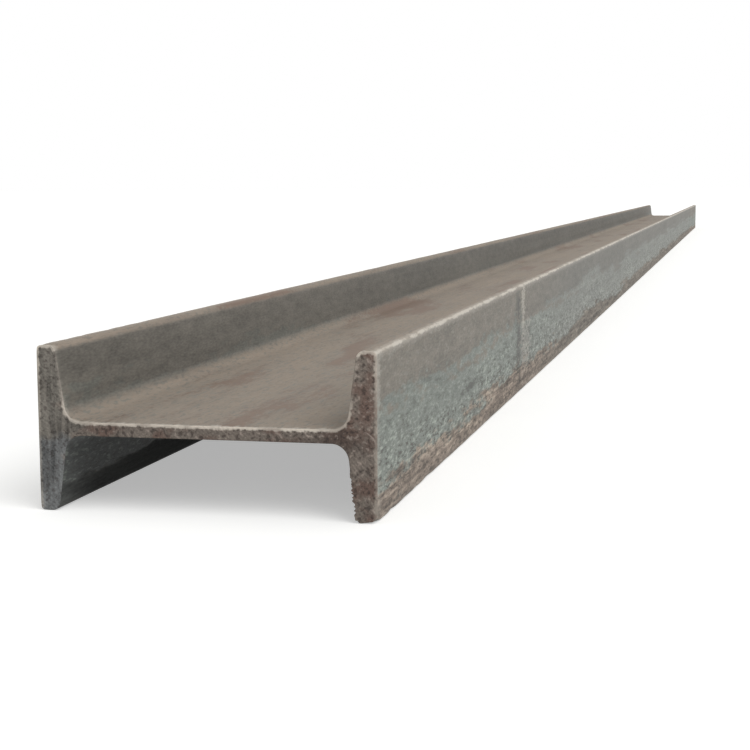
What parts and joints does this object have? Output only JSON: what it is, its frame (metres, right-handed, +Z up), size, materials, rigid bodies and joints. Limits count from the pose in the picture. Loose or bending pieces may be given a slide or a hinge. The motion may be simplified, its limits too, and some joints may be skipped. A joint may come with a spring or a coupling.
{
  "type": "steel i-beam",
  "caption": "Length of hot-rolled steel I-beam with tapered flanges, lying with its web level, mill scale and brown flash rust on its faces, its ends saw-cut square.",
  "frame": {"origin": "on the floor, under the middle of the beam: the middle of the bounding box's bottom face", "axes": "+Y along the beam, +X across the depth of the section from one flange to the other, +Z up, across the width of the flanges"},
  "size_m": [0.2, 6, 0.096],
  "materials": {
    "mill_scale_steel": "matt grey mill scale with a thin brown rust bloom, and saw-cut ends with brown flash rust"
  },
  "bodies": {
    "root": {"i_beam": "mill_scale_steel"}
  },
  "joints": []
}
